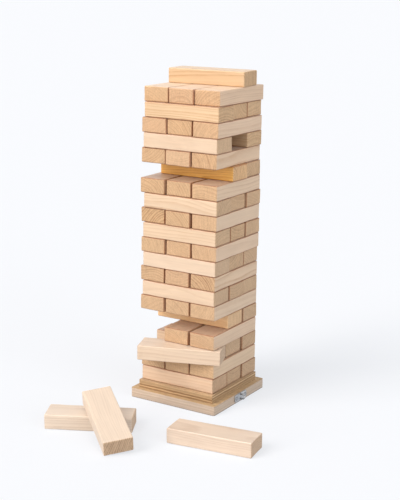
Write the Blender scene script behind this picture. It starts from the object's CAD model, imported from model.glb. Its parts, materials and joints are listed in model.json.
"""Giant tumbling tower, stopped in the middle of a game: its looks, built around the CAD frame."""

import json
import math

import bmesh
import bpy
import numpy as np
from mathutils import Matrix, Vector

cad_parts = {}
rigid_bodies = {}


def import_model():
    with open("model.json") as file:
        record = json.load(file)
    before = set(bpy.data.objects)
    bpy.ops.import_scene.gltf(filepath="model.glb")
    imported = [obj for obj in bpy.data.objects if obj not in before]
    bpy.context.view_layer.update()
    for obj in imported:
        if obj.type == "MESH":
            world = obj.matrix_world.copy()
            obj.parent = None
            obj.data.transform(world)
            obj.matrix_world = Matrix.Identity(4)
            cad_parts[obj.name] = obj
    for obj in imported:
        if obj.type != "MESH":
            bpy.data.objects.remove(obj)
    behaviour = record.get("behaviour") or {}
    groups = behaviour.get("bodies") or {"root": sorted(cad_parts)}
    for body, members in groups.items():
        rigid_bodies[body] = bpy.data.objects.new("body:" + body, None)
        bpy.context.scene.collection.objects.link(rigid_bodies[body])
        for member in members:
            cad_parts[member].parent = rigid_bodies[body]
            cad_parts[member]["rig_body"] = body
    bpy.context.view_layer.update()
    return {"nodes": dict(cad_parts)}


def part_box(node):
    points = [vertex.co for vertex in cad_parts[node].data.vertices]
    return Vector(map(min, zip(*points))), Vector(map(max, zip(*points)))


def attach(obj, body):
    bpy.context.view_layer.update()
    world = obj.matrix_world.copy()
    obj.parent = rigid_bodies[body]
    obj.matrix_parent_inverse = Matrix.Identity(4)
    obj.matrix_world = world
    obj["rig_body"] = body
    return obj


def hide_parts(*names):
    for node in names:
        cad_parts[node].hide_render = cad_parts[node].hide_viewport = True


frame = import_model()

MM = 0.001
COURSES = 20
# How much duller a block's ends are than those of the course above, from being handled more.
DULLING_PER_COURSE = 0.007
# The floor lies a hair below the object's feet, so that the two never flicker.
FLOOR_DROP = 0.3 * MM

# The camera, fitted to the tower's own corners: where it looks, from how far and which way.
CAMERA_TARGET = (-0.004, 0.007, 0.321)
CAMERA_DISTANCE = 2.53
CAMERA_AZIMUTH = 31.7
CAMERA_ELEVATION = 13.7
CAMERA_ROLL = 0.8
CAMERA_LENS = 84.3
CAMERA_SENSOR = 36.0

# How each block was sawn, as its visible end shows it. Looking at that end:
# the pith's bearing in degrees from the viewer's right, its distance in mm, the ring width in mm,
# how strong the latewood is, how pale the block is, and how pink (above 0) or yellow (below 0).
SAWN = {
    "course_20_left": (250, 90, 6.0, 0.35, 0.0, 0.2),
    "course_20_middle": (268, 38, 6.0, 0.50, 0.1, 0.6),
    "course_20_right": (315, 60, 5.5, 0.60, 0.0, 0.4),
    "course_19_front": (265, 90, 6.0, 0.90, 0.0, -0.2),
    "course_19_middle": (45, 50, 5.0, 0.80, -0.1, 0.1),
    "course_19_back": (100, 80, 6.0, 0.40, 0.0, 0.1),
    "course_18_left": (120, 80, 6.0, 0.35, 0.1, 0.5),
    "course_18_middle": (225, 60, 5.0, 0.80, -0.1, 0.2),
    "course_18_right": (320, 70, 6.0, 0.40, 0.05, 0.4),
    "course_17_front": (180, 90, 8.0, 0.25, 0.35, 0.1),
    "course_17_back": (270, 80, 6.5, 1.00, -0.1, -0.2),
    "course_16_left": (130, 75, 5.5, 0.70, 0.0, 0.1),
    "course_16_middle": (90, 60, 6.0, 0.35, 0.3, 0.3),
    "course_16_right": (205, 60, 5.5, 0.80, -0.1, 0.3),
    "course_15_middle": (200, 40, 5.0, 1.00, -0.3, -1.0),
    "course_15_back": (135, 60, 5.0, 0.70, -0.1, 0.1),
    "course_14_left": (235, 70, 5.5, 0.70, -0.1, 0.1),
    "course_14_middle": (210, 65, 5.0, 0.70, -0.05, 0.1),
    "course_14_right": (270, 70, 6.0, 0.70, 0.0, 0.2),
    "course_13_front": (315, 80, 5.0, 0.70, 0.15, 0.0),
    "course_13_middle": (80, 90, 6.0, 0.40, 0.0, 0.2),
    "course_13_back": (240, 90, 6.0, 0.40, 0.0, 0.2),
    "course_12_left": (315, 70, 5.0, 1.00, -0.3, 0.0),
    "course_12_middle": (225, 70, 5.0, 0.70, -0.1, 0.1),
    "course_12_right": (180, 90, 7.0, 0.30, 0.05, 0.2),
    "course_11_front": (280, 100, 7.0, 0.50, 0.1, 0.0),
    "course_11_middle": (80, 60, 5.0, 0.70, -0.2, 0.1),
    "course_11_back": (190, 90, 6.0, 0.30, 0.0, 0.2),
    "course_10_left": (205, 70, 5.5, 0.50, 0.0, 0.0),
    "course_10_middle": (60, 90, 6.0, 0.35, -0.1, 0.3),
    "course_10_right": (200, 60, 5.5, 0.40, 0.0, 0.3),
    "course_09_front": (175, 110, 8.0, 0.20, 0.40, 0.1),
    "course_09_middle": (130, 50, 5.5, 0.70, -0.05, 0.1),
    "course_09_back": (225, 60, 5.5, 0.50, 0.1, 0.2),
    "course_08_left": (270, 80, 6.0, 0.60, -0.05, 0.1),
    "course_08_middle": (90, 50, 6.0, 0.50, 0.0, 0.4),
    "course_08_right": (220, 70, 5.0, 1.00, -0.15, 0.2),
    "course_07_front": (170, 90, 7.0, 0.35, 0.2, 0.1),
    "course_07_middle": (100, 60, 5.0, 0.60, -0.05, 0.2),
    "course_07_back": (200, 90, 6.0, 0.30, 0.0, 0.1),
    "course_06_left": (300, 80, 6.0, 0.40, 0.0, 0.1),
    "course_06_middle": (230, 80, 6.0, 0.45, 0.0, 0.1),
    "course_06_right": (140, 80, 6.0, 0.35, 0.0, 0.1),
    "course_05_middle": (185, 80, 7.0, 0.40, -0.2, -0.4),
    "course_05_back": (60, 80, 6.0, 0.40, 0.0, 0.2),
    "course_04_middle": (240, 80, 6.0, 0.45, -0.1, 0.2),
    "course_04_right": (250, 90, 6.0, 0.40, -0.1, 0.3),
    "course_03_drawn": (260, 95, 8.0, 0.60, 0.4, 0.1),
    "course_03_middle": (50, 50, 5.0, 0.50, 0.0, 0.1),
    "course_03_back": (120, 70, 5.5, 0.60, -0.1, 0.1),
    "course_02_left": (225, 80, 6.0, 0.50, -0.2, 0.0),
    "course_02_middle": (90, 100, 7.0, 0.30, -0.2, 0.0),
    "course_02_right": (260, 90, 6.0, 0.35, -0.25, 0.0),
    "course_01_front": (300, 90, 5.5, 0.50, -0.1, 0.5),
    "course_01_middle": (90, 60, 5.5, 0.60, -0.2, 0.2),
    "course_01_back": (70, 70, 6.0, 0.50, -0.1, 0.2),
    "top": (190, 50, 6.0, 0.90, -0.1, -0.2),
    "single": (265, 90, 5.5, 0.60, 0.9, 0.3),
    "lying": (260, 90, 6.5, 0.60, 1.0, 0.0),
    "leaning": (337, 150, 3.8, 0.40, 0.9, 0.0),
}
# Blocks whose rings show more on their ends than along their sides.
END_RINGS = {
    "leaning": 1.5,
    "course_15_middle": 1.3,
    "course_08_right": 1.2,
    "course_12_left": 1.2,
}
# Blocks a little brighter (above 0) or duller (below 0) than the rest.
BRIGHTER = {
    "top": -0.06,
    "single": -0.05,
    "leaning": -0.05,
    "course_15_middle": 0.22,
    "course_05_middle": 0.22,
}
# How far the grain runs out of a block's length, in degrees, where it shows.
GRAIN_RUNOUT = {"top": 3.5, "course_15_middle": 2.0, "course_16_right": 1.5}


# ---------------------------------------------------------------- shader nodes


def node(tree, kind, inputs=None, **settings):
    """Adds a node. Each input is a value, or another node's output to link."""
    made = tree.nodes.new(kind)
    for name, value in settings.items():
        setattr(made, name, value)
    for key, value in (inputs or {}).items():
        if isinstance(value, bpy.types.NodeSocket):
            tree.links.new(value, made.inputs[key])
        else:
            made.inputs[key].default_value = value
    return made


def maths(tree, operation, first, second=0.0, third=0.0):
    inputs = {0: first, 1: second, 2: third}
    return node(tree, "ShaderNodeMath", inputs, operation=operation).outputs[0]


def remap(tree, value, low, high, new_low, new_high):
    """A value in low..high, stretched to new_low..new_high and held inside it."""
    inputs = {0: value, 1: low, 2: high, 3: new_low, 4: new_high}
    return node(tree, "ShaderNodeMapRange", inputs).outputs[0]


def stretch(tree, vector, scales, offset=(0.0, 0.0, 0.0)):
    inputs = {0: vector, 1: scales, 2: offset}
    return node(tree, "ShaderNodeVectorMath", inputs, operation="MULTIPLY_ADD").outputs[0]


def noise(tree, vector, detail=2.0, roughness=0.5, scale=1.0, distortion=0.0):
    inputs = {
        "Vector": vector,
        "Scale": scale,
        "Detail": detail,
        "Roughness": roughness,
        "Distortion": distortion,
    }
    return node(tree, "ShaderNodeTexNoise", inputs).outputs[0]


def ramp(tree, value, stops):
    """A grey ramp through (position, level) stops."""
    made = node(tree, "ShaderNodeValToRGB", {0: value})
    points = made.color_ramp.elements
    while len(points) < len(stops):
        points.new(1.0)
    for point, (position, level) in zip(points, stops):
        point.position = position
        point.color = (level, level, level, 1.0)
    return made.outputs[0]


def mix(tree, factor, first, second, blend="MIX"):
    """Two colours, mixed by factor."""
    made = node(tree, "ShaderNodeMix", data_type="RGBA", blend_type=blend)
    for key, value in ((0, factor), (6, first), (7, second)):
        if isinstance(value, bpy.types.NodeSocket):
            tree.links.new(value, made.inputs[key])
        elif isinstance(value, tuple):
            made.inputs[key].default_value = (*value, 1.0)
        else:
            made.inputs[key].default_value = value
    return made.outputs[2]


def attribute(tree, name, output="Fac"):
    return node(tree, "ShaderNodeAttribute", attribute_name=name).outputs[output]


def empty_material(name):
    material = bpy.data.materials.new(name)
    material.use_nodes = True
    material.node_tree.nodes.clear()
    return material, material.node_tree


def surface(tree, inputs):
    shader = node(tree, "ShaderNodeBsdfPrincipled", inputs)
    node(tree, "ShaderNodeOutputMaterial", {0: shader.outputs[0]})


# ---------------------------------------------------------------- materials


def pine_material():
    """Planed, unvarnished pine. The rings are one field in the block, so that the end shows arcs
    where the sides show lines and cathedral arches."""
    material, tree = empty_material("pine")
    grain = attribute(tree, "grain", "Vector")
    sawn = node(tree, "ShaderNodeSeparateXYZ", {0: attribute(tree, "sawn", "Vector")}).outputs
    ring_width, strength, paleness = sawn[0], sawn[1], sawn[2]
    tint = node(tree, "ShaderNodeSeparateXYZ", {0: attribute(tree, "tint", "Vector")}).outputs
    pink, yellow, seed = tint[0], tint[1], tint[2]
    end = attribute(tree, "end")
    edge = attribute(tree, "edge")

    # Growth rings: distance from the pith, bent by how the trunk grew.
    across = stretch(tree, grain, (0.0, 1.0, 1.0))
    radius = node(tree, "ShaderNodeVectorMath", {0: across}, operation="LENGTH").outputs[1]
    slow_bend = noise(tree, stretch(tree, grain, (5.0, 16.0, 16.0)), 1.5)
    quick_bend = noise(tree, stretch(tree, grain, (26.0, 130.0, 130.0)), 2.0)
    radius = maths(tree, "MULTIPLY_ADD", slow_bend, 0.018, radius)
    radius = maths(tree, "MULTIPLY_ADD", quick_bend, 0.0016, radius)
    place = maths(tree, "DIVIDE", radius, ring_width)
    year_weather = node(
        tree,
        "ShaderNodeTexNoise",
        {"W": maths(tree, "MULTIPLY_ADD", place, 0.45, seed), "Scale": 1.0, "Detail": 1.0},
        noise_dimensions="1D",
    ).outputs[0]
    place = maths(tree, "MULTIPLY_ADD", year_weather, 1.7, place)
    year = maths(tree, "FLOOR", place)
    this_year = node(
        tree,
        "ShaderNodeTexWhiteNoise",
        {"W": maths(tree, "ADD", year, seed)},
        noise_dimensions="1D",
    ).outputs[0]
    season = maths(tree, "FRACT", place)
    long_stops = [(0.0, 0.0), (0.3, 0.05), (0.62, 0.35), (0.86, 0.95), (0.93, 1.0), (1.0, 0.0)]
    end_stops = [(0.0, 0.1), (0.2, 0.0), (0.45, 0.35), (0.7, 0.9), (0.88, 1.0), (1.0, 0.1)]
    latewood = mix(tree, end, ramp(tree, season, long_stops), ramp(tree, season, end_stops))
    latewood = maths(tree, "MULTIPLY", latewood, remap(tree, this_year, 0, 1, 0.45, 1.0))
    patches = noise(tree, stretch(tree, grain, (40.0, 90.0, 90.0)), 2.0, 0.6)
    latewood = maths(tree, "MULTIPLY", latewood, remap(tree, patches, 0.3, 0.7, 0.55, 1.15))
    strength = mix(tree, end, strength, attribute(tree, "end_rings"))
    latewood = maths(tree, "MULTIPLY", latewood, strength)

    # Fine fibres, resin ducts and the slow change of tone along a board.
    fibres = noise(tree, stretch(tree, grain, (14.0, 1100.0, 1100.0)), 4.0, 0.62)
    streaks = noise(tree, stretch(tree, grain, (5.0, 210.0, 210.0)), 3.0, 0.6)
    clouds = noise(tree, stretch(tree, grain, (9.0, 34.0, 34.0)), 3.0, 0.55)
    speckle = noise(tree, stretch(tree, grain, (60.0, 420.0, 420.0)), 3.0, 0.7)
    saw_marks = noise(tree, stretch(tree, grain, (60.0, 900.0, 55.0)), 2.0, 0.6)
    end_marks = maths(tree, "MULTIPLY_ADD", saw_marks, 0.6, speckle)
    duct_cells = node(
        tree,
        "ShaderNodeTexVoronoi",
        {"Vector": stretch(tree, grain, (55.0, 420.0, 420.0)), "Scale": 1.0},
    )
    duct_spots = remap(tree, duct_cells.outputs["Distance"], 0.05, 0.16, 1.0, 0.0)
    which = node(tree, "ShaderNodeSeparateColor", {0: duct_cells.outputs["Color"]}).outputs[0]
    ducts = maths(tree, "MULTIPLY", duct_spots, maths(tree, "GREATER_THAN", which, 0.72))

    long_face = mix(tree, latewood, (0.695, 0.500, 0.332), (0.480, 0.268, 0.128))
    end_face = mix(tree, latewood, (0.600, 0.383, 0.208), (0.360, 0.188, 0.080))
    colour = mix(tree, end, long_face, end_face)
    colour = mix(tree, pink, colour, (1.0, 0.925, 0.96), "MULTIPLY")
    yellow = maths(tree, "MULTIPLY", yellow, remap(tree, end, 0.0, 1.0, 1.0, 0.1))
    colour = mix(tree, yellow, colour, (1.0, 0.82, 0.42), "MULTIPLY")
    colour = mix(tree, maths(tree, "MULTIPLY", ducts, 0.35), colour, (0.36, 0.20, 0.10))
    paleness = maths(tree, "MULTIPLY", paleness, remap(tree, end, 0.0, 1.0, 1.0, 0.45))
    value = maths(tree, "MULTIPLY_ADD", paleness, 0.03, 1.0)
    value = maths(tree, "ADD", value, attribute(tree, "brighter"))
    handled = attribute(tree, "handled")
    dulled = maths(tree, "MULTIPLY", handled, remap(tree, end, 0.0, 1.0, 0.35, 1.0))
    value = maths(tree, "SUBTRACT", value, dulled)
    value = maths(tree, "MULTIPLY", value, remap(tree, fibres, 0.3, 0.7, 0.95, 1.045))
    value = maths(tree, "MULTIPLY", value, remap(tree, streaks, 0.3, 0.7, 0.965, 1.03))
    value = maths(tree, "MULTIPLY", value, remap(tree, clouds, 0.3, 0.7, 0.95, 1.04))
    end_value = remap(tree, end_marks, 0.55, 1.05, 0.81, 1.13)
    value = maths(tree, "MULTIPLY", value, mix(tree, end, (1.0, 1.0, 1.0), end_value))
    value = maths(tree, "MULTIPLY", value, remap(tree, edge, 0.0, 1.0, 1.0, 1.03))
    saturation = maths(tree, "MULTIPLY_ADD", paleness, -0.34, 1.0)
    saturation = maths(tree, "MULTIPLY_ADD", handled, -0.6, saturation)
    inputs = {"Saturation": saturation, "Value": value, "Color": colour}
    colour = node(tree, "ShaderNodeHueSaturation", inputs).outputs[0]
    grime = remap(tree, clouds, 0.3, 0.7, 0.7, 0.95)
    grime = maths(tree, "MULTIPLY", attribute(tree, "groove"), grime)
    colour = mix(tree, grime, colour, (0.48, 0.24, 0.11), "MULTIPLY")

    # Saw-rough ends, planed sides, latewood standing slightly proud.
    roughness = remap(tree, fibres, 0.3, 0.7, 0.36, 0.48)
    roughness = maths(tree, "MULTIPLY_ADD", end, 0.22, roughness)
    roughness = maths(tree, "MULTIPLY_ADD", latewood, -0.08, roughness)
    end_relief = maths(tree, "MULTIPLY", fibres, remap(tree, end, 0.0, 1.0, 0.55, 1.4))
    relief = maths(tree, "MULTIPLY_ADD", latewood, 0.35, end_relief)
    relief = maths(tree, "MULTIPLY_ADD", streaks, 0.5, relief)
    bump = node(
        tree, "ShaderNodeBump", {"Strength": 0.5, "Distance": 0.0003, "Height": relief}
    ).outputs[0]
    surface(
        tree,
        {
            "Base Color": colour,
            "Roughness": roughness,
            "Normal": bump,
            "Specular IOR Level": 0.75,
            "Sheen Weight": 0.22,
            "Sheen Roughness": 0.4,
            "Sheen Tint": (1.0, 0.98, 0.96, 1.0),
        },
    )
    return material


def plywood_material(name, bottom, thickness, plies, face_runs_along_x, tones, contrast):
    """Plywood lying flat: crossed plies on its edges, a rotary-cut veneer on its faces.
    The tones are those of the edge's pale and dark plies and of the face."""
    pale, dark, face_tone = tones
    material, tree = empty_material(name)
    place = node(tree, "ShaderNodeTexCoord").outputs["Object"]
    x, y, z = node(tree, "ShaderNodeSeparateXYZ", {0: place}).outputs
    normal = node(tree, "ShaderNodeNewGeometry").outputs["True Normal"]
    upright = node(tree, "ShaderNodeSeparateXYZ", {0: normal}).outputs[2]
    face = remap(tree, maths(tree, "ABSOLUTE", upright), 0.75, 0.95, 0.0, 1.0)
    faces_side = maths(
        tree, "GREATER_THAN", maths(tree, "ABSOLUTE", x), maths(tree, "ABSOLUTE", y)
    )

    # Which ply, and whether this edge cuts it across its grain.
    wander = noise(tree, stretch(tree, place, (16.0, 16.0, 90.0)), 2.5, 0.6)
    height = maths(tree, "SUBTRACT", z, bottom)
    height = maths(tree, "MULTIPLY_ADD", wander, 0.005, height)
    level = maths(tree, "DIVIDE", maths(tree, "SUBTRACT", height, 0.0025), thickness / plies)
    ply = maths(tree, "FLOOR", level)
    within = maths(tree, "FRACT", level)
    crossed = maths(tree, "MODULO", maths(tree, "ADD", ply, 10.0), 2.0)
    if not face_runs_along_x:
        crossed = maths(tree, "SUBTRACT", 1.0, crossed)
    difference = maths(tree, "SUBTRACT", crossed, faces_side)
    cut_across = maths(tree, "ABSOLUTE", difference)
    glue = ramp(tree, within, [(0.0, 1.0), (0.12, 0.0), (0.9, 0.0), (1.0, 1.0)])
    ply_tone = node(
        tree, "ShaderNodeTexWhiteNoise", {"W": ply}, noise_dimensions="1D"
    ).outputs[0]

    fibres_x = noise(tree, stretch(tree, place, (16.0, 900.0, 900.0)), 3.0, 0.6)
    fibres_y = noise(tree, stretch(tree, place, (900.0, 16.0, 900.0)), 3.0, 0.6)
    specks = noise(tree, stretch(tree, place, (800.0, 800.0, 500.0)), 3.0, 0.65)
    along = mix(tree, faces_side, fibres_x, fibres_y)
    edge_fibres = mix(tree, cut_across, along, specks)

    long_scale = (4.0, 22.0, 22.0) if face_runs_along_x else (22.0, 4.0, 22.0)
    veneer_field = noise(tree, stretch(tree, place, long_scale), 1.5, 0.5, distortion=0.6)
    veneer_place = maths(tree, "MULTIPLY", veneer_field, 13.0)
    stops = [(0.0, 0.0), (0.45, 0.15), (0.85, 0.9), (1.0, 0.0)]
    veneer_rings = ramp(tree, maths(tree, "FRACT", veneer_place), stops)
    veneer_fibres = fibres_x if face_runs_along_x else fibres_y

    shade = maths(tree, "MULTIPLY_ADD", ply_tone, 0.5, maths(tree, "MULTIPLY", cut_across, 0.6))
    edge_colour = mix(tree, shade, pale, dark)
    glue_shade = maths(tree, "MULTIPLY", glue, contrast)
    edge_colour = mix(tree, glue_shade, edge_colour, (0.22, 0.12, 0.06))
    face_dark = tuple(part * 0.62 for part in face_tone)
    face_colour = mix(tree, maths(tree, "MULTIPLY", veneer_rings, 0.5), face_tone, face_dark)
    colour = mix(tree, face, edge_colour, face_colour)
    fibres = mix(tree, face, edge_fibres, veneer_fibres)
    clouds = noise(tree, stretch(tree, place, (24.0, 24.0, 60.0)), 3.0, 0.55)
    value = remap(tree, fibres, 0.3, 0.7, 0.92, 1.06)
    value = maths(tree, "MULTIPLY", value, remap(tree, clouds, 0.3, 0.7, 0.93, 1.05))
    colour = node(tree, "ShaderNodeHueSaturation", {"Value": value, "Color": colour}).outputs[0]
    foot = remap(tree, z, 0.0, 0.002, 0.85, 0.0)
    colour = mix(tree, foot, colour, (0.10, 0.07, 0.06))
    relief = maths(tree, "MULTIPLY_ADD", glue, -0.8, fibres)
    bump = node(
        tree, "ShaderNodeBump", {"Strength": 0.6, "Distance": 0.0004, "Height": relief}
    ).outputs[0]
    surface(
        tree,
        {
            "Base Color": colour,
            "Roughness": remap(tree, fibres, 0.3, 0.7, 0.50, 0.66),
            "Normal": bump,
            "Sheen Weight": 0.2,
            "Sheen Roughness": 0.4,
        },
    )
    return material


def zinc_material():
    """Bright zinc plating, slightly cloudy, with fine drawing marks and dull spots."""
    material, tree = empty_material("zinc")
    place = node(tree, "ShaderNodeTexCoord").outputs["Object"]
    clouds = noise(tree, place, 4.0, 0.6, scale=260.0)
    marks = noise(tree, stretch(tree, place, (2600.0, 90.0, 2600.0)), 3.0, 0.6)
    crystals = node(tree, "ShaderNodeTexVoronoi", {"Vector": place, "Scale": 420.0})
    crystal = node(tree, "ShaderNodeSeparateColor", {0: crystals.outputs["Color"]}).outputs[0]
    tone = maths(tree, "MULTIPLY_ADD", crystal, 0.25, clouds)
    tone = remap(tree, tone, 0.4, 0.85, 0.0, 1.0)
    colour = mix(tree, tone, (0.56, 0.58, 0.61), (0.86, 0.87, 0.89))

    # Grime along the plate's rim, around its screw heads and where the wire goes in.
    low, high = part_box("staple_plates")
    centre, half = (low + high) / 2, (high - low) / 2
    parts = node(tree, "ShaderNodeSeparateXYZ", {0: place}).outputs
    from_middle = []
    for part, middle, reach in ((parts[1], centre.y, half.y), (parts[2], centre.z, half.z)):
        offset = maths(tree, "SUBTRACT", part, middle)
        from_middle.append(maths(tree, "DIVIDE", maths(tree, "ABSOLUTE", offset), reach))
    rim = maths(tree, "POWER", maths(tree, "MAXIMUM", *from_middle), 6.0)
    screw_low, screw_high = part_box("staple_screws")
    wire_low, wire_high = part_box("staple_loops")
    radius = (screw_high.z - screw_low.z) / 2
    wire = (wire_high.y - wire_low.y) / 2
    holes = [
        (screw_low.y + radius, centre.z, radius),
        (screw_high.y - radius, centre.z, radius),
        (centre.y, wire_low.z + wire, wire),
        (centre.y, wire_high.z - wire, wire),
    ]
    grime = remap(tree, rim, 0.4, 1.0, 0.0, 0.6)
    for hole_y, hole_z, size in holes:
        away_y = maths(tree, "SUBTRACT", parts[1], hole_y)
        away_z = maths(tree, "SUBTRACT", parts[2], hole_z)
        squares = maths(tree, "MULTIPLY", away_z, away_z)
        squares = maths(tree, "MULTIPLY_ADD", away_y, away_y, squares)
        away = maths(tree, "SUBTRACT", maths(tree, "SQRT", squares), size)
        away = maths(tree, "ABSOLUTE", away)
        grime = maths(tree, "MAXIMUM", grime, remap(tree, away, 0.0002, 0.0016, 0.9, 0.0))
    grime = maths(tree, "MULTIPLY", grime, remap(tree, clouds, 0.3, 0.7, 0.7, 1.0))
    colour = mix(tree, grime, colour, (0.13, 0.12, 0.11))
    relief = maths(tree, "MULTIPLY_ADD", marks, 0.6, clouds)
    bump = node(
        tree, "ShaderNodeBump", {"Strength": 0.35, "Distance": 0.0001, "Height": relief}
    ).outputs[0]
    surface(
        tree,
        {
            "Base Color": colour,
            "Metallic": 1.0,
            "Roughness": remap(tree, clouds, 0.3, 0.7, 0.28, 0.46),
            "Normal": bump,
        },
    )
    return material


def floor_material():
    """Matt white studio paper that glows a little, so that shadows stay faint."""
    material, tree = empty_material("studio_floor")
    place = node(tree, "ShaderNodeTexCoord").outputs["Object"]
    tone = remap(tree, noise(tree, place, 3.0, 0.5, scale=6.0), 0.3, 0.7, 0.97, 1.0)
    colour = mix(tree, tone, (0.23, 0.235, 0.245), (0.27, 0.272, 0.28))
    seen = node(tree, "ShaderNodeLightPath").outputs["Is Camera Ray"]
    surface(
        tree,
        {
            "Base Color": colour,
            "Roughness": 0.9,
            "Specular IOR Level": 0.0,
            "Emission Color": (0.93, 0.955, 1.0, 1.0),
            "Emission Strength": remap(tree, seen, 0.0, 1.0, 0.37, 0.66),
        },
    )
    return material


# ---------------------------------------------------------------- block geometry


def toward_camera():
    azimuth = math.radians(CAMERA_AZIMUTH)
    elevation = math.radians(CAMERA_ELEVATION)
    level = math.cos(elevation)
    return Vector((math.sin(azimuth) * level, -math.cos(azimuth) * level, math.sin(elevation)))


def islands(mesh):
    """The separate solids of a mesh, each as a list of (face normal, area, corners)."""
    work = bmesh.new()
    work.from_mesh(mesh)
    bmesh.ops.remove_doubles(work, verts=work.verts, dist=1e-6)
    found, seen = [], set()
    for start in work.faces:
        if start in seen:
            continue
        seen.add(start)
        waiting, faces = [start], []
        while waiting:
            face = waiting.pop()
            corners = [v.co.copy() for v in face.verts]
            faces.append((face.normal.copy(), face.calc_area(), corners))
            for edge in face.edges:
                for neighbour in edge.link_faces:
                    if neighbour not in seen:
                        seen.add(neighbour)
                        waiting.append(neighbour)
        found.append(faces)
    work.free()
    return found


def block_frame(faces):
    """A block's centre, half sizes and axes: along it away from the camera, across, and up."""
    faces = sorted(faces, key=lambda face: -face[1])
    up = faces[0][0].normalized()
    if up.z < 0:
        up.negate()
    across = next(normal for normal, area, corners in faces if abs(normal.dot(up)) < 0.01)
    along = across.cross(up).normalized()
    if along.dot(toward_camera()) > 0:
        along.negate()
    across = up.cross(along).normalized()
    axes = np.array([along, across, up])
    points = np.array([corner for normal, area, corners in faces for corner in corners])
    spans = points @ axes.T
    low, high = spans.min(0), spans.max(0)
    return (low + high) / 2 @ axes, (high - low) / 2, axes


def cuts(half, radius, step):
    """Grid lines along one side, close together across the rounded edges."""
    near_edge = radius * np.array([0.0, 0.2, 0.42, 0.7, 1.0, 1.5])
    inner = half - 1.5 * radius
    middle = np.linspace(-inner, inner, max(2, round(2 * inner / step)) + 1)
    return np.unique(np.round(np.concatenate([near_edge - half, middle, half - near_edge]), 7))


def box_grid(sides):
    """The points and outward quads of a box's surface, cut at these positions on its sides."""
    counts = [len(side) for side in sides]
    shell = np.ones(counts, bool)
    shell[1:-1, 1:-1, 1:-1] = False
    index = np.full(counts, -1)
    index[shell] = np.arange(shell.sum())
    points = np.stack(np.meshgrid(*sides, indexing="ij"), -1)[shell]
    quads = []
    for axis in range(3):
        for end in (0, -1):
            layer = np.take(index, end, axis=axis)
            ring = [layer[:-1, :-1], layer[1:, :-1], layer[1:, 1:], layer[:-1, 1:]]
            if (end == -1) == (axis == 1):
                ring.reverse()
            quads.append(np.stack([corner.ravel() for corner in ring], -1))
    return points, np.concatenate(quads)


def waves(points, size, random, count=7):
    """Smooth noise of about -1 to 1 at points; size is the width of its bumps in metres."""
    directions = random.normal(size=(count, 3))
    directions /= np.linalg.norm(directions, axis=1)[:, None]
    phases = random.uniform(0, 2 * math.pi, count)
    return np.sin(points @ directions.T * (math.pi / size) + phases).sum(1) / math.sqrt(count)


def worn_block(half, random):
    """A planed block with hand-sanded edges, knocked here and there: points, quads, wear."""
    radius = random.uniform(2.0, 2.5) * MM
    steps = (4.5 * MM, 5 * MM, 5 * MM)
    points, quads = box_grid([cuts(side, radius, step) for side, step in zip(half, steps)])
    sanding = radius * (1 + 0.16 * waves(points, 22 * MM, random))
    inner = np.clip(points, sanding[:, None] - half, half - sanding[:, None])
    outward = points - inner
    outward /= np.linalg.norm(outward, axis=1)[:, None]
    shaped = inner + outward * sanding[:, None]
    wear = 1 - np.abs(outward).max(1)
    wear /= 1 - 1 / math.sqrt(3)
    for knock in range(7):
        corner = random.choice([-1.0, 1.0], 3) * half
        corner[random.integers(3)] *= random.uniform(-1, 1)
        size = random.uniform(4, 8) * MM
        near = np.exp(-((np.linalg.norm(shaped - corner, axis=1) / size) ** 2))
        shaped -= outward * (near * random.uniform(0.1, 0.45) * MM)[:, None]
        wear = np.maximum(wear, 0.7 * near)
    planing = 0.5 + 0.5 * waves(shaped, 45 * MM, random)
    shaped -= outward * (np.clip(planing, 0, 1) * 0.07 * MM)[:, None]
    return shaped, quads, outward, wear


# ---------------------------------------------------------------- pieces


def new_object(name, mesh, material):
    mesh.materials.clear()
    mesh.materials.append(material)
    made = bpy.data.objects.new(name, mesh)
    bpy.context.scene.collection.objects.link(made)
    return made


def stand_for(piece, cad_node):
    """The piece takes a CAD node's place, and rides on its body."""
    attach(piece, frame["nodes"][cad_node]["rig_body"])
    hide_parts(cad_node)


def store(mesh, name, values):
    kind, field = ("FLOAT_VECTOR", "vector") if values.ndim == 2 else ("FLOAT", "value")
    mesh.attributes.new(name, kind, "POINT").data.foreach_set(
        field, values.astype(np.float32).ravel()
    )


def smooth_step(values, low, high):
    held = np.clip((values - low) / (high - low), 0, 1)
    return held * held * (3 - 2 * held)


def neighbours(name):
    """The directions in which a block of the tower touches other blocks of the tower."""
    course, place = name.rpartition("_")[::2]
    if not course or place == "drawn":
        return []
    found = [(0, 0, -1)] if course == "course_20" else [(0, 0, -1), (0, 0, 1)]
    row = {"front": (0, -1, 0), "back": (0, 1, 0), "left": (-1, 0, 0), "right": (1, 0, 0)}
    for other, way in row.items():
        if place == "middle" and f"{course}_{other}" in SAWN:
            found.append(way)
    if place != "middle" and f"{course}_middle" in SAWN:
        found.append(tuple(-part for part in row[place]))
    return found


def grooves(name, normals):
    """How far each point is turned towards a neighbour: grime and shade gather there."""
    groove = np.zeros(len(normals))
    for way in neighbours(name):
        facing = normals @ np.array(way, float)
        shade = smooth_step(facing, 0.15, 0.7) * (1 - 0.45 * smooth_step(facing, 0.93, 1.0))
        groove = np.maximum(groove, shade)
    return groove


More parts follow.
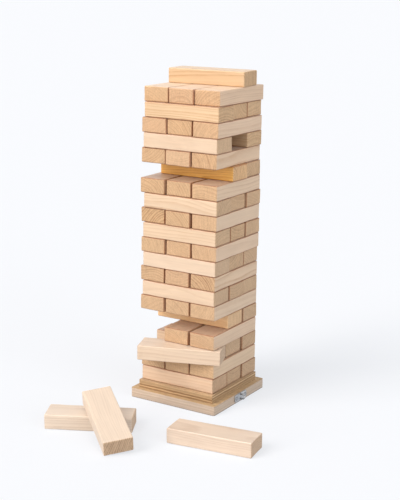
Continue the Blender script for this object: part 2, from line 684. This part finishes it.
def build_block(name, cad_node, faces, number):
    random = np.random.default_rng(500 + number)
    centre, half, axes = block_frame(faces)
    shaped, quads, outward, wear = worn_block(half, random)
    # With grain, across and up as they are here, the viewer's right is the other way across.
    bearing, distance, ring_width, strength, paleness, pink = SAWN[name]
    handled = DULLING_PER_COURSE * (COURSES - int(name[7:9])) if name.startswith("course_") else 0.0
    runout = math.radians(GRAIN_RUNOUT.get(name, random.uniform(-0.8, 0.8)))
    swing = math.radians(random.uniform(-0.8, 0.8))
    right, up = -shaped[:, 1], shaped[:, 2]
    right = right - math.cos(math.radians(bearing)) * distance * MM
    up = up - math.sin(math.radians(bearing)) * distance * MM
    right = right + shaped[:, 0] * math.tan(swing)
    up = up + shaped[:, 0] * math.tan(runout)
    grain = np.stack([shaped[:, 0] + number * 1.37, right, up], -1)

    mesh = bpy.data.meshes.new(name)
    mesh.from_pydata((centre + shaped @ axes).tolist(), [], quads.tolist())
    count = len(shaped)
    store(mesh, "grain", grain)
    store(mesh, "sawn", np.tile([ring_width * MM, strength, paleness], (count, 1)))
    store(mesh, "tint", np.tile([max(pink, 0), max(-pink, 0), number * 0.731], (count, 1)))
    store(mesh, "end", np.clip(np.abs(outward[:, 0]) * 1.6 - 0.5, 0, 1))
    store(mesh, "end_rings", np.full(count, END_RINGS.get(name, strength)))
    store(mesh, "edge", wear)
    store(mesh, "handled", np.full(count, handled))
    store(mesh, "brighter", np.full(count, BRIGHTER.get(name, 0.0)))
    store(mesh, "groove", grooves(name, outward @ axes))
    mesh.polygons.foreach_set("use_smooth", np.ones(len(mesh.polygons), bool))
    mesh.update()
    piece = new_object("pine_" + name, mesh, PINE)
    stand_for(piece, cad_node)


def build_blocks():
    number = 0
    for cad_node in sorted(frame["nodes"]):
        solids = islands(frame["nodes"][cad_node].data)
        if cad_node.endswith("_block"):
            build_block(cad_node.removesuffix("_block"), cad_node, solids[0], number)
            number += 1
        elif cad_node.endswith("_blocks"):
            course = cad_node.removesuffix("_blocks")
            along_x = int(course[-2:]) % 2 == 1
            places = ("front", "middle", "back") if along_x else ("left", "middle", "right")
            solids.sort(key=lambda faces: block_frame(faces)[0][1 if along_x else 0])
            for place, faces in zip(places, solids):
                build_block(f"{course}_{place}", cad_node, faces, number)
                number += 1


def eased_copy(cad_node, name, material, width, segments=3):
    """A CAD node's own shape with its sharp edges rounded, smooth where it is curved."""
    work = bmesh.new()
    work.from_mesh(frame["nodes"][cad_node].data)
    bmesh.ops.remove_doubles(work, verts=work.verts, dist=1e-6)
    bmesh.ops.dissolve_limit(
        work, angle_limit=math.radians(1), verts=work.verts, edges=work.edges
    )
    sharp = [
        edge
        for edge in work.edges
        if len(edge.link_faces) == 2 and edge.calc_face_angle() > math.radians(35)
    ]
    bmesh.ops.bevel(
        work, geom=sharp, offset=width, segments=segments, profile=0.5, affect="EDGES",
        clamp_overlap=True,
    )
    mesh = bpy.data.meshes.new(name)
    work.to_mesh(mesh)
    work.free()
    mesh.polygons.foreach_set("use_smooth", np.ones(len(mesh.polygons), bool))
    mesh.set_sharp_from_angle(angle=math.radians(32))
    piece = new_object(name, mesh, material)
    stand_for(piece, cad_node)


def build_base():
    board_low, board_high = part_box("base_board")
    plinth_low, plinth_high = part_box("plinth")
    board = plywood_material(
        "board_plywood", board_low.z, board_high.z - board_low.z, 7, True,
        ((0.60, 0.465, 0.36), (0.51, 0.38, 0.28), (0.50, 0.32, 0.16)), 0.3,
    )
    plinth = plywood_material(
        "plinth_plywood", plinth_low.z, plinth_high.z - plinth_low.z, 6, False,
        ((0.60, 0.40, 0.22), (0.28, 0.155, 0.065), (0.48, 0.31, 0.17)), 1.0,
    )
    eased_copy("base_board", "board", board, 1.2 * MM)
    eased_copy("plinth", "plinth_board", plinth, 0.5 * MM)
    zinc = zinc_material()
    eased_copy("staple_plates", "staple_plates_zinc", zinc, 0.35 * MM)
    eased_copy("staple_loops", "staple_loops_zinc", zinc, 0.1 * MM, 1)
    eased_copy("staple_screws", "staple_screws_zinc", zinc, 0.12 * MM, 2)
    eased_copy("plinth_screws", "plinth_screws_zinc", zinc, 0.12 * MM, 2)


# ---------------------------------------------------------------- stage


def build_floor():
    mesh = bpy.data.meshes.new("floor")
    reach = 60.0
    corners = [(-reach, -reach, 0), (reach, -reach, 0), (reach, reach, 0), (-reach, reach, 0)]
    mesh.from_pydata(corners, [], [(0, 1, 2, 3)])
    floor = new_object("studio_floor", mesh, floor_material())
    floor.location.z = -FLOOR_DROP


def soft_sun(name, azimuth, elevation, strength, colour, spread, glossy=True):
    """A very wide sun, as a large softbox gives. Azimuth and elevation are where it stands."""
    light = bpy.data.lights.new(name, "SUN")
    light.energy = strength
    light.color = colour
    light.angle = math.radians(spread)
    sun = bpy.data.objects.new(name, light)
    bpy.context.scene.collection.objects.link(sun)
    turn, rise = math.radians(azimuth), math.radians(elevation)
    level = math.cos(rise)
    stands = Vector((math.sin(turn) * level, -math.cos(turn) * level, math.sin(rise)))
    sun.rotation_mode = "QUATERNION"
    sun.rotation_quaternion = stands.to_track_quat("Z", "Y")
    sun.visible_glossy = glossy


def build_light():
    world = bpy.data.worlds.new("studio")
    bpy.context.scene.world = world
    world.use_nodes = True
    tree = world.node_tree
    tree.nodes.clear()
    rays = node(tree, "ShaderNodeLightPath").outputs
    seen = maths(tree, "MAXIMUM", rays["Is Camera Ray"], rays["Is Glossy Ray"])
    strength = remap(tree, seen, 0.0, 1.0, 0.38, 1.0)
    colour = mix(tree, seen, (1.0, 0.96, 0.90), (0.945, 0.96, 0.985))
    background = node(tree, "ShaderNodeBackground", {"Color": colour, "Strength": strength})
    node(tree, "ShaderNodeOutputWorld", {0: background.outputs[0]})
    soft_sun("key", -28, 38, 2.35, (1.0, 0.97, 0.94), 40)
    soft_sun("low", -22, 9, 0.95, (1.0, 0.89, 0.74), 14, glossy=False)
    soft_sun("fill", 78, 16, 1.6, (0.85, 0.93, 1.0), 50, glossy=False)
    soft_sun("overhead", 0, 80, 0.8, (1.0, 1.0, 1.0), 60)
    bpy.context.scene.view_settings.view_transform = "Standard"


def build_camera():
    azimuth, roll = math.radians(CAMERA_AZIMUTH), math.radians(CAMERA_ROLL)
    back = toward_camera()
    right = Vector((math.cos(azimuth), math.sin(azimuth), 0))
    up = back.cross(right)
    x_axis = right * math.cos(roll) + up * math.sin(roll)
    y_axis = up * math.cos(roll) - right * math.sin(roll)
    data = bpy.data.cameras.new("camera")
    data.lens = CAMERA_LENS
    data.sensor_width = CAMERA_SENSOR
    camera = bpy.data.objects.new("camera", data)
    bpy.context.scene.collection.objects.link(camera)
    stands = Matrix.Translation(Vector(CAMERA_TARGET) + back * CAMERA_DISTANCE)
    turned = Matrix((x_axis, y_axis, back)).transposed().to_4x4()
    camera.matrix_world = stands @ turned
    data.clip_end = 200.0
    bpy.context.scene.camera = camera


PINE = pine_material()
build_blocks()
build_base()
build_floor()
build_light()
build_camera()
